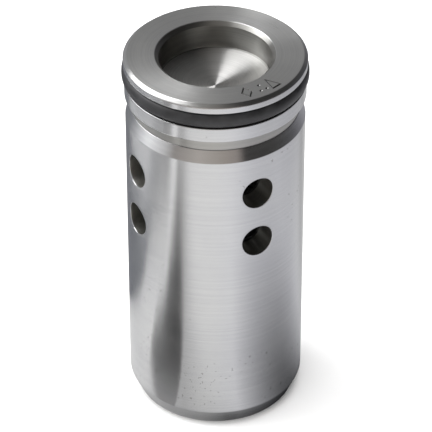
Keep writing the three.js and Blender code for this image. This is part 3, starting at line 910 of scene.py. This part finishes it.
def poppet():
    skin = Skin(INNER_COLUMNS)
    rim_z = POPPET_TOP - 0.4
    neck_z = CUP_FLOOR_Z + 0.5
    screw_hole_z = 33
    half = 3.4
    above = WINDOW_Z + half + 0.2
    below = WINDOW_Z - half - 0.2
    windows = HoleRow(skin, poppet_window, WINDOW_Z, POPPET_STEM_R, CUP_R, outer_half=half,
                      inner_half=half, reach=8, edge=0.12)
    boss = outline([
        (0, BOSS_BOTTOM), (BOSS_R, BOSS_BOTTOM, 0.3), (BOSS_R, CUP_FLOOR_Z, 0.3),
        (CUP_R, CUP_FLOOR_Z, 0.4), (CUP_R, above),
    ])
    corners = [(CUP_R, below), (CUP_R, POPPET_BOTTOM, 0.3), (POPPET_R, POPPET_BOTTOM, 0.3)]
    for ring in ("poppet_guide_ring_lower", "poppet_guide_ring_upper"):
        _, low, high = span(ring)
        corners += [
            (POPPET_R, low - FIT, 0.05), (GUIDE_RING_FLOOR_R, low - FIT, 0.05),
            (GUIDE_RING_FLOOR_R, high + FIT, 0.05), (POPPET_R, high + FIT, 0.05),
        ]
    corners += [(POPPET_R, SKIRT_TOP, 0.2), (POPPET_STEM_R, SKIRT_TOP + 0.6)]
    disc = outline([
        (POPPET_STEM_R, above), (POPPET_STEM_R, CUP_FLOOR_Z, 0.2), (POPPET_DISC_R, neck_z, 0.2),
        (POPPET_DISC_R, rim_z, 0.2), (SEAL_OUTER_R, rim_z, 0.05), (SEAL_OUTER_R, SEAL_POCKET_Z, 0.1),
        (SEAL_INNER_R, SEAL_POCKET_Z, 0.1), (SEAL_INNER_R, POPPET_TOP, 0.1),
        (SCREW_HOLE_R, POPPET_TOP, 0.1), (SCREW_HOLE_R, screw_hole_z), (0, screw_hole_z - 0.5),
    ])
    skin.wrap([
        (skin.rings(boss), False), (windows.inner[::-1], True), (skin.rings(outline(corners)), False),
        (windows.outer, True), (skin.rings(disc), False),
    ], closed=False)
    windows.fill()
    dress(skin.piece("poppet_body"), "hardened_steel", "poppet", "poppet")


def face_seal():
    _, low, high = span("poppet_seal")
    seal = lathed("poppet_face_seal", [
        (SEAL_INNER_R + FIT, low, 0.15), (SEAL_OUTER_R - FIT, low, 0.15),
        (SEAL_OUTER_R - FIT, high, 0.25), (SEAL_INNER_R + FIT, high, 0.15),
    ])
    dress(seal, "polyurethane", "poppet", "poppet_seal")
    radius, low, high = span("seal_retainer")
    retainer = lathed("seal_clamp", [
        (SCREW_HOLE_R, low, 0.1), (radius, low, 0.15), (radius, low + 0.8, 0.3),
        (LOCK_WASHER_R + 0.4, high, 0.15), (SCREW_HOLE_R, high, 0.1),
    ])
    dress(retainer, "zinc_plate", "poppet", "seal_retainer")
    washer = split_plate("clamp_washer", "retainer_lock_washer", SCREW_HOLE_R, gap=12, gap_at=190,
                         edge=0.1)
    dress(washer, "zinc_plate", "poppet", "retainer_lock_washer")


def retainer_screw():
    radius, low, high = span("retainer_screw")
    head_z = high - SCREW_HEAD_H
    floor_z = high - SCREW_KEY_DEPTH
    socket = hexagon(SCREW_KEY_AF)
    socket_r = SCREW_KEY_AF / 2
    skin = Skin(INNER_COLUMNS)
    pitch, depth = 0.8, 0.4
    mean_r = SCREW_R - depth / 2
    tip = skin.rings([(0, low), (SCREW_R - 0.5, low), (mean_r, low + 0.3)])
    shank = thread(skin, mean_r, low + 0.4, head_z - 1.5, pitch, depth)
    head = skin.rings(outline([
        (SCREW_R, head_z - 1.2), (SCREW_R, head_z), (radius, head_z, 0.15), (radius, high, 0.45),
        (1.22 * socket_r, high, 0.05), (1.17 * socket_r, high - 0.12),
    ]))
    hollow = skin.rings([
        (socket, high - 0.35), (socket, floor_z), (0.9 * socket_r, floor_z), (0, floor_z - 0.7),
    ])
    skin.bands(tip + shank + head + hollow, closed=False)
    dress(skin.piece("clamp_screw"), "black_oxide_steel", "poppet", "retainer_screw")


def guide_rings():
    inner_r = GUIDE_RING_FLOOR_R + 2 * FIT
    for place, gap_at in (("lower", 135), ("upper", 315)):
        node = "poppet_guide_ring_" + place
        name = "guide_ring_" + place + "_band"
        ring = split_plate(name, node, inner_r, gap=3, gap_at=gap_at, edge=0.08)
        dress(ring, "bronze_ptfe", "poppet", node)


# The spring and its washers


def spring_washers():
    for node, bore_r, body in (
        ("upper_spring_washer", BOSS_R + 0.3, "poppet"),
        ("lower_spring_washer", 7.2, "spring_seat"),
    ):
        radius, low, high = span(node)
        washer = lathed(node.replace("spring_washer", "washer"), [
            (bore_r, low, 0.12), (radius, low, 0.2), (radius, high, 0.2), (bore_r, high, 0.12),
        ])
        dress(washer, "zinc_plate", body, node)


def spring_point(turn, bottom, top):
    """The wire's centre line: one close turn at each end and even turns between them."""
    rise = top - bottom - 2 * GROUND_DEPTH
    open_pitch = (rise - 2 * END_TURN_PITCH) / (SPRING_TURNS - 2)
    close = min(turn, 1) + max(turn - SPRING_TURNS + 1, 0)
    z = bottom + GROUND_DEPTH + close * END_TURN_PITCH + (turn - close) * open_pitch
    angle = 2 * math.pi * turn
    return Vector((SPRING_MEAN_R * math.cos(angle), SPRING_MEAN_R * math.sin(angle), z))


def spring_half(name, first_turn, last_turn):
    """Part of the spring. Its wire is ground flat where it meets the washers."""
    _, bottom, top = span("poppet_spring")
    sides = 20
    steps = 100
    skin = Skin(sides)
    loops = []
    for k in range(steps + 1):
        turn = first_turn + (last_turn - first_turn) * k / steps
        here = spring_point(turn, bottom, top)
        ahead = spring_point(turn + 0.01, bottom, top) - spring_point(turn - 0.01, bottom, top)
        outward = Vector((here.x, here.y, 0)).normalized()
        upward = outward.cross(ahead).normalized()
        loop = []
        for i in range(sides):
            angle = 2 * math.pi * i / sides
            x, y, z = here + WIRE_R * (math.cos(angle) * outward - math.sin(angle) * upward)
            loop.append(skin.add(x, y, min(max(z, bottom), top)))
        loops.append(loop)
    skin.bands(loops, closed=False)
    skin.faces.append(loops[0][::-1])
    skin.faces.append(loops[-1])
    return skin.piece(name, sharp=40)


def poppet_spring():
    """Two halves of one spring: the lower stays where it is made, and the upper is fastened to the
    cartridge."""
    lower = spring_half("spring_lower_half", 0, SPRING_TURNS / 2)
    upper = spring_half("spring_upper_half", SPRING_TURNS / 2, SPRING_TURNS)
    for half in (lower, upper):
        half.data.materials.append(finishes["spring_steel"])
        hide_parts("poppet_spring")
    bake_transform(lower)
    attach(upper, "cartridge")
    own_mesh(upper)


# The adjuster


def adjuster_ring():
    radius, low, high = span("adjuster_ring")
    face = radius - 1
    key = hexagon(ADJUSTER_KEY_AF)
    mouth_r = 0.6 * ADJUSTER_KEY_AF
    skin = Skin(COLUMNS)
    below = skin.rings([(mouth_r, low), (face - 0.1, low), (face, low + 0.05)])
    wall = thread(skin, radius - 0.3, low + 0.7, high - 0.7, ADJUSTER_PITCH, THREAD_DEPTH)
    above = skin.rings([(face, high - 0.05), (face - 0.1, high), (mouth_r, high)])
    bore = skin.rings([(key, high - 0.55), (key, low + 0.55)])
    skin.bands(below + wall + above + bore, closed=True)
    piece = skin.piece("adjuster_nut")
    hole_floor, past = PELLET_INNER - 0.3, radius + 1
    drill = lathed("drill", [
        (0, hole_floor), (PELLET_HOLE_R, hole_floor), (PELLET_HOLE_R, past), (0, past),
    ], columns=32)
    drill.data.transform(lay_along_x((low + high) / 2))
    cut(piece, [drill])
    dress(piece, "zinc_plate", "adjuster", "adjuster_ring")


def lay_along_x(z):
    """Turns what stands on the axis to lie along +X at a height."""
    return Matrix.Translation((0, 0, z * MM)) @ Matrix.Rotation(math.pi / 2, 4, "Y")


def lock_pellet():
    low, high = box_mm("adjuster_lock_pellet")
    radius = (high.z - low.z) / 2
    pellet = lathed("lock_pellet", [
        (0, low.x), (radius, low.x, 0.3), (radius, high.x, 0.15), (0, high.x),
    ], columns=32)
    pellet.data.transform(lay_along_x((low.z + high.z) / 2))
    dress(pellet, "nylon", "adjuster", "adjuster_lock_pellet")


valve_sleeve()
head_plug()
head_o_ring()
seat()
nose_circlip()
poppet()
face_seal()
retainer_screw()
guide_rings()
spring_washers()
poppet_spring()
adjuster_ring()
lock_pellet()


# Floor, lights and camera

VIEW_TURN = math.radians(-28.2)  # the camera's direction, from -Y towards +X
VIEW_RISE = math.radians(36.62)
CAMERA_DISTANCE = 670.7
LENS = 245.64
AIM_Z = 45.72
AIM_RIGHT = 0.13  # how far right of the axis the camera aims


def direction(turn, rise):
    """A direction from the valve: turn is counted from the camera's side towards its right."""
    angle = VIEW_TURN + math.radians(turn)
    rise = math.radians(rise)
    return Vector((math.sin(angle) * math.cos(rise), -math.cos(angle) * math.cos(rise), math.sin(rise)))


def mirrored_on_floor(turn, height):
    """The place on the floor whose reflection shows on the sleeve's wall at that turn from
    the camera's side, and at that height."""
    wall = direction(turn, 0) * SLEEVE_R
    away = direction(2 * turn, 0) * height / math.tan(VIEW_RISE)
    return wall.x + away.x, wall.y + away.y


def flat_sheet(name, corners, height, material):
    """A flat sheet of the stage, from its corners on the floor plan."""
    mesh = bpy.data.meshes.new(name)
    mesh.from_pydata([(x * MM, y * MM, height * MM) for x, y in corners], [], [range(len(corners))])
    mesh.materials.append(material)
    sheet = placed(name, mesh)
    return sheet


def radius_on_floor(f):
    """The place on the floor plan, and its distance from the valve's axis."""
    flat = f.make("ShaderNodeVectorMath", {0: f.place, 1: (1, 1, 0)}, operation="MULTIPLY").outputs[0]
    length = f.make("ShaderNodeVectorMath", {0: flat}, operation="LENGTH")
    return flat, length.outputs["Value"]


def paper(name, shade, near_shade):
    """Plain matt paper, which may have another shade close to the valve."""
    f = Finish(name)
    grain = f.range(f.noise(f.place, 30, 4.0), 0.3, 0.7, 0.97, 1.0)
    _, radius = radius_on_floor(f)
    f.set("Base Color", f.times(grain, f.range(radius, 0.024, 0.040, near_shade, shade)))
    f.set("Roughness", 0.9)
    f.set("Specular IOR Level", 0.1)
    return f.material


def painted_light_paper(name, strength=1.0):
    """Paper that glows with painted light, seen only in the steel. It holds painted shade: the valve's
    painted shadow on the valve's right, fading with distance, more far off behind that side, a band
    right beside the dark card, and a dark ring close under the valve, darker on the right. It has a
    faint painted blue tint on the right. Distances are in metres."""
    f = Finish(name)
    flat, radius = radius_on_floor(f)
    to_right = f.math("DIVIDE", f.dot(flat, direction(70, 0)), radius)
    turned_away = f.range(to_right, 0.62, 1, 0, 1)
    # Painted shadow of the valve on the paper to its right, fading with distance.
    painted_shadow_on_right = f.times(turned_away, f.range(radius, 0.026, 0.095, 0.8, 0.2))
    # Painted shade far off behind the valve's right side.
    painted_shade_far_off = f.range(f.dot(flat, direction(145, 0)), 0.045, 0.115, 0, 0.45)
    # Painted shade in a band right beside the dark card's edge.
    from_card = f.math("ABSOLUTE", f.math("SUBTRACT", f.dot(flat, direction(48, 0)), 0.007))
    painted_shade_by_card = f.range(from_card, 0, 0.018, 0.64, 1)
    # Painted shade in a ring close under the valve, darker on the right than on the left.
    under = f.range(f.dot(flat, direction(-90, 0)), -0.003, 0.007, 0.19, 0.66)
    painted_contact_shade = f.range(radius, 0.0195, 0.0235, under, 1)
    # Painted light, brighter further from the valve, with the painted shade taken off.
    painted_light = f.range(radius, 0.035, 0.11, 0.93, 1.16)
    painted_light = f.math("SUBTRACT", painted_light, f.math("ADD", painted_shadow_on_right, painted_shade_far_off))
    painted_light = f.times(painted_light, f.times(painted_shade_by_card, f.times(painted_contact_shade, strength)))
    f.set("Base Color", (0, 0, 0, 1))
    f.set("Specular IOR Level", 0)
    # A faint painted blue tint on the right.
    f.set("Emission Color", f.mix(f.range(to_right, 0.3, 0.9, 0, 1), (1, 1, 1, 1), (0.95, 0.955, 1, 1)))
    f.set("Emission Strength", painted_light)
    return f.material


def reflected_sheet(name, edge, height, material):
    """A flat sheet that shows only in the steel. Its edge is given as the places on the
    sleeve's wall, by turn and height, where the edge is seen."""
    sheet = flat_sheet(name, [mirrored_on_floor(*place) for place in edge], height, material)
    sheet.visible_camera = False
    sheet.visible_diffuse = False
    sheet.visible_shadow = False


def floor():
    """A wide pale floor. The steel reflects the room and, instead of the floor, two sheets that glow
    with painted light and painted shade.
    """
    half = 6000
    corners = [(-half, -half), (half, -half), (half, half), (-half, half)]
    wide = flat_sheet("floor", corners, 0, paper("floor_paper", 0.88, 0.88))
    wide.visible_glossy = False
    # Sheets seen only in the steel, glowing with painted light and painted shade.
    edge = ((-86, 24), (-72, 25), (-60, 30), (-50, 43), (-44, 50), (-38, 56), (-33, 64), (-30, 74),
            (-28, 90), (-26, 140), (0, 150), (16, 150), (24, 110), (50, 95), (70, 110), (88, 100))
    reflected_sheet("near_paper", edge, 0.05, painted_light_paper("near_paper"))
    edge = ((-67, 88), (-63, 78), (-58, 73), (-50, 70), (-44, 77), (-39, 87), (-34, 95), (-33, 106),
            (-70, 106))
    reflected_sheet("far_paper", edge, 0.05, painted_light_paper("far_paper", 1.6))


def dark_card():
    """A narrow dark card lying on the left of the valve, seen only in the steel, which paints a dark
    reflected streak on its wall, and a glowing strip of painted light along the card's far edge, also
    seen only in the steel."""
    edge = ((-40, 1), (-45, 5), (-48, 13), (-48, 19), (-45, 25), (-38.5, 30), (-34, 36), (-31, 47),
            (-28.3, 58), (-26.2, 65), (-24.6, 74), (-23.4, 65), (-22.4, 56), (-22, 35), (-22.5, 18),
            (-25.8, 8), (-30.5, 1))
    # The card is lighter close to the valve, so that the painted dark streak fades towards the nose.
    reflected_sheet("dark_card", edge, 0.3, paper("card_paper", 0.03, 0.22))
    edge = ((-49, 22.5), (-43.5, 28.5), (-38, 34.5), (-33.4, 45), (-30.6, 55), (-28.2, 66), (-26.6, 76),
            (-25.4, 92), (-24.2, 92), (-25.2, 76), (-26.9, 66), (-29.2, 55), (-32, 45), (-36.3, 35),
            (-41.8, 29), (-48, 23))
    # A glowing strip of painted light beside the painted dark streak.
    reflected_sheet("light_strip", edge, 0.35, painted_light_paper("strip_paper", 1.7))


def softbox(name, turn, rise, distance, width, height, power):
    light = bpy.data.lights.new(name, "AREA")
    light.shape = "RECTANGLE"
    light.size = width
    light.size_y = height
    light.energy = power
    lamp = placed(name, light)
    aim = direction(turn, rise)
    lamp.location = aim * distance + Vector((0, 0, HEAD_TOP / 2 * MM))
    lamp.rotation_mode = "QUATERNION"
    lamp.rotation_quaternion = aim.to_track_quat("Z", "Y")
    return lamp


def room_light():
    """A plain room, as colours by turn: -180 is the far side, -90 the left, 0 the near side and
    90 the right. It is brightest on the left, where the window is, and darkest on the right."""
    world = bpy.data.worlds.new("studio")
    world.use_nodes = True
    n = Nodes(world.node_tree)
    place = n.make("ShaderNodeTexCoord").outputs["Generated"]
    turn = n.math("ARCTAN2", n.dot(place, direction(90, 0)), n.dot(place, direction(0, 0)))
    share = n.range(turn, -math.pi, math.pi, 0, 1)

    def around(*stops):
        return n.stops(share, [(turn / 360 + 0.5, colour) for turn, colour in stops])

    low = around(
        (-180, (0.36, 0.36, 0.38)), (-155, (0.22, 0.225, 0.25)), (-135, (0.22, 0.23, 0.25)),
        (-100, (0.26, 0.27, 0.29)), (-60, (0.36, 0.36, 0.36)), (0, (0.50, 0.50, 0.50)),
        (60, (0.55, 0.55, 0.56)), (120, (0.50, 0.50, 0.54)), (180, (0.36, 0.36, 0.38)),
    )
    middle = around(
        (-180, (0.40, 0.40, 0.40)), (-155, (0.48, 0.48, 0.49)), (-125, (0.36, 0.37, 0.39)),
        (-90, (1.25, 1.26, 1.28)), (-62, (0.75, 0.75, 0.75)), (-50, (0.36, 0.33, 0.31)),
        (-20, (0.66, 0.61, 0.56)), (10, (0.51, 0.46, 0.41)), (26, (0.43, 0.38, 0.35)),
        (36, (0.035, 0.033, 0.03)), (80, (0.035, 0.033, 0.03)), (130, (0.06, 0.06, 0.07)),
        (160, (0.20, 0.20, 0.21)), (180, (0.40, 0.40, 0.40)),
    )
    high = around(
        (-180, (0.42, 0.42, 0.42)), (-120, (0.34, 0.34, 0.34)), (0, (0.24, 0.23, 0.22)),
        (38, (0.05, 0.05, 0.05)), (110, (0.025, 0.025, 0.025)), (150, (0.14, 0.14, 0.14)),
        (180, (0.42, 0.42, 0.42)),
    )
    rise = n.dot(place, (0, 0, 1))
    ends = n.mix(n.range(rise, 0.3, 0.5, 0, 1), middle, high)
    background = world.node_tree.nodes["Background"]
    n.feed(background.inputs["Color"], n.mix(n.range(rise, -0.32, -0.12, 0, 1), low, ends))
    bpy.context.scene.world = world


def camera():
    data = bpy.data.cameras.new("camera")
    data.sensor_width = 36.0
    data.lens = LENS
    data.clip_end = 50
    cam = placed("camera", data)
    back = direction(0, math.degrees(VIEW_RISE))
    aim = Vector((0, 0, AIM_Z)) + direction(90, 0) * AIM_RIGHT
    cam.location = (aim + back * CAMERA_DISTANCE) * MM
    cam.rotation_mode = "QUATERNION"
    cam.rotation_quaternion = back.to_track_quat("Z", "Y")
    bpy.context.scene.camera = cam


floor()
dark_card()
softbox("window", turn=-105, rise=50, distance=1.0, width=0.72, height=0.95, power=9.5)
fill = softbox("fill", turn=0, rise=85, distance=1.5, width=2.0, height=2.0, power=45)
fill.visible_glossy = False
room_light()
camera()
bpy.context.scene.view_settings.view_transform = "Standard"
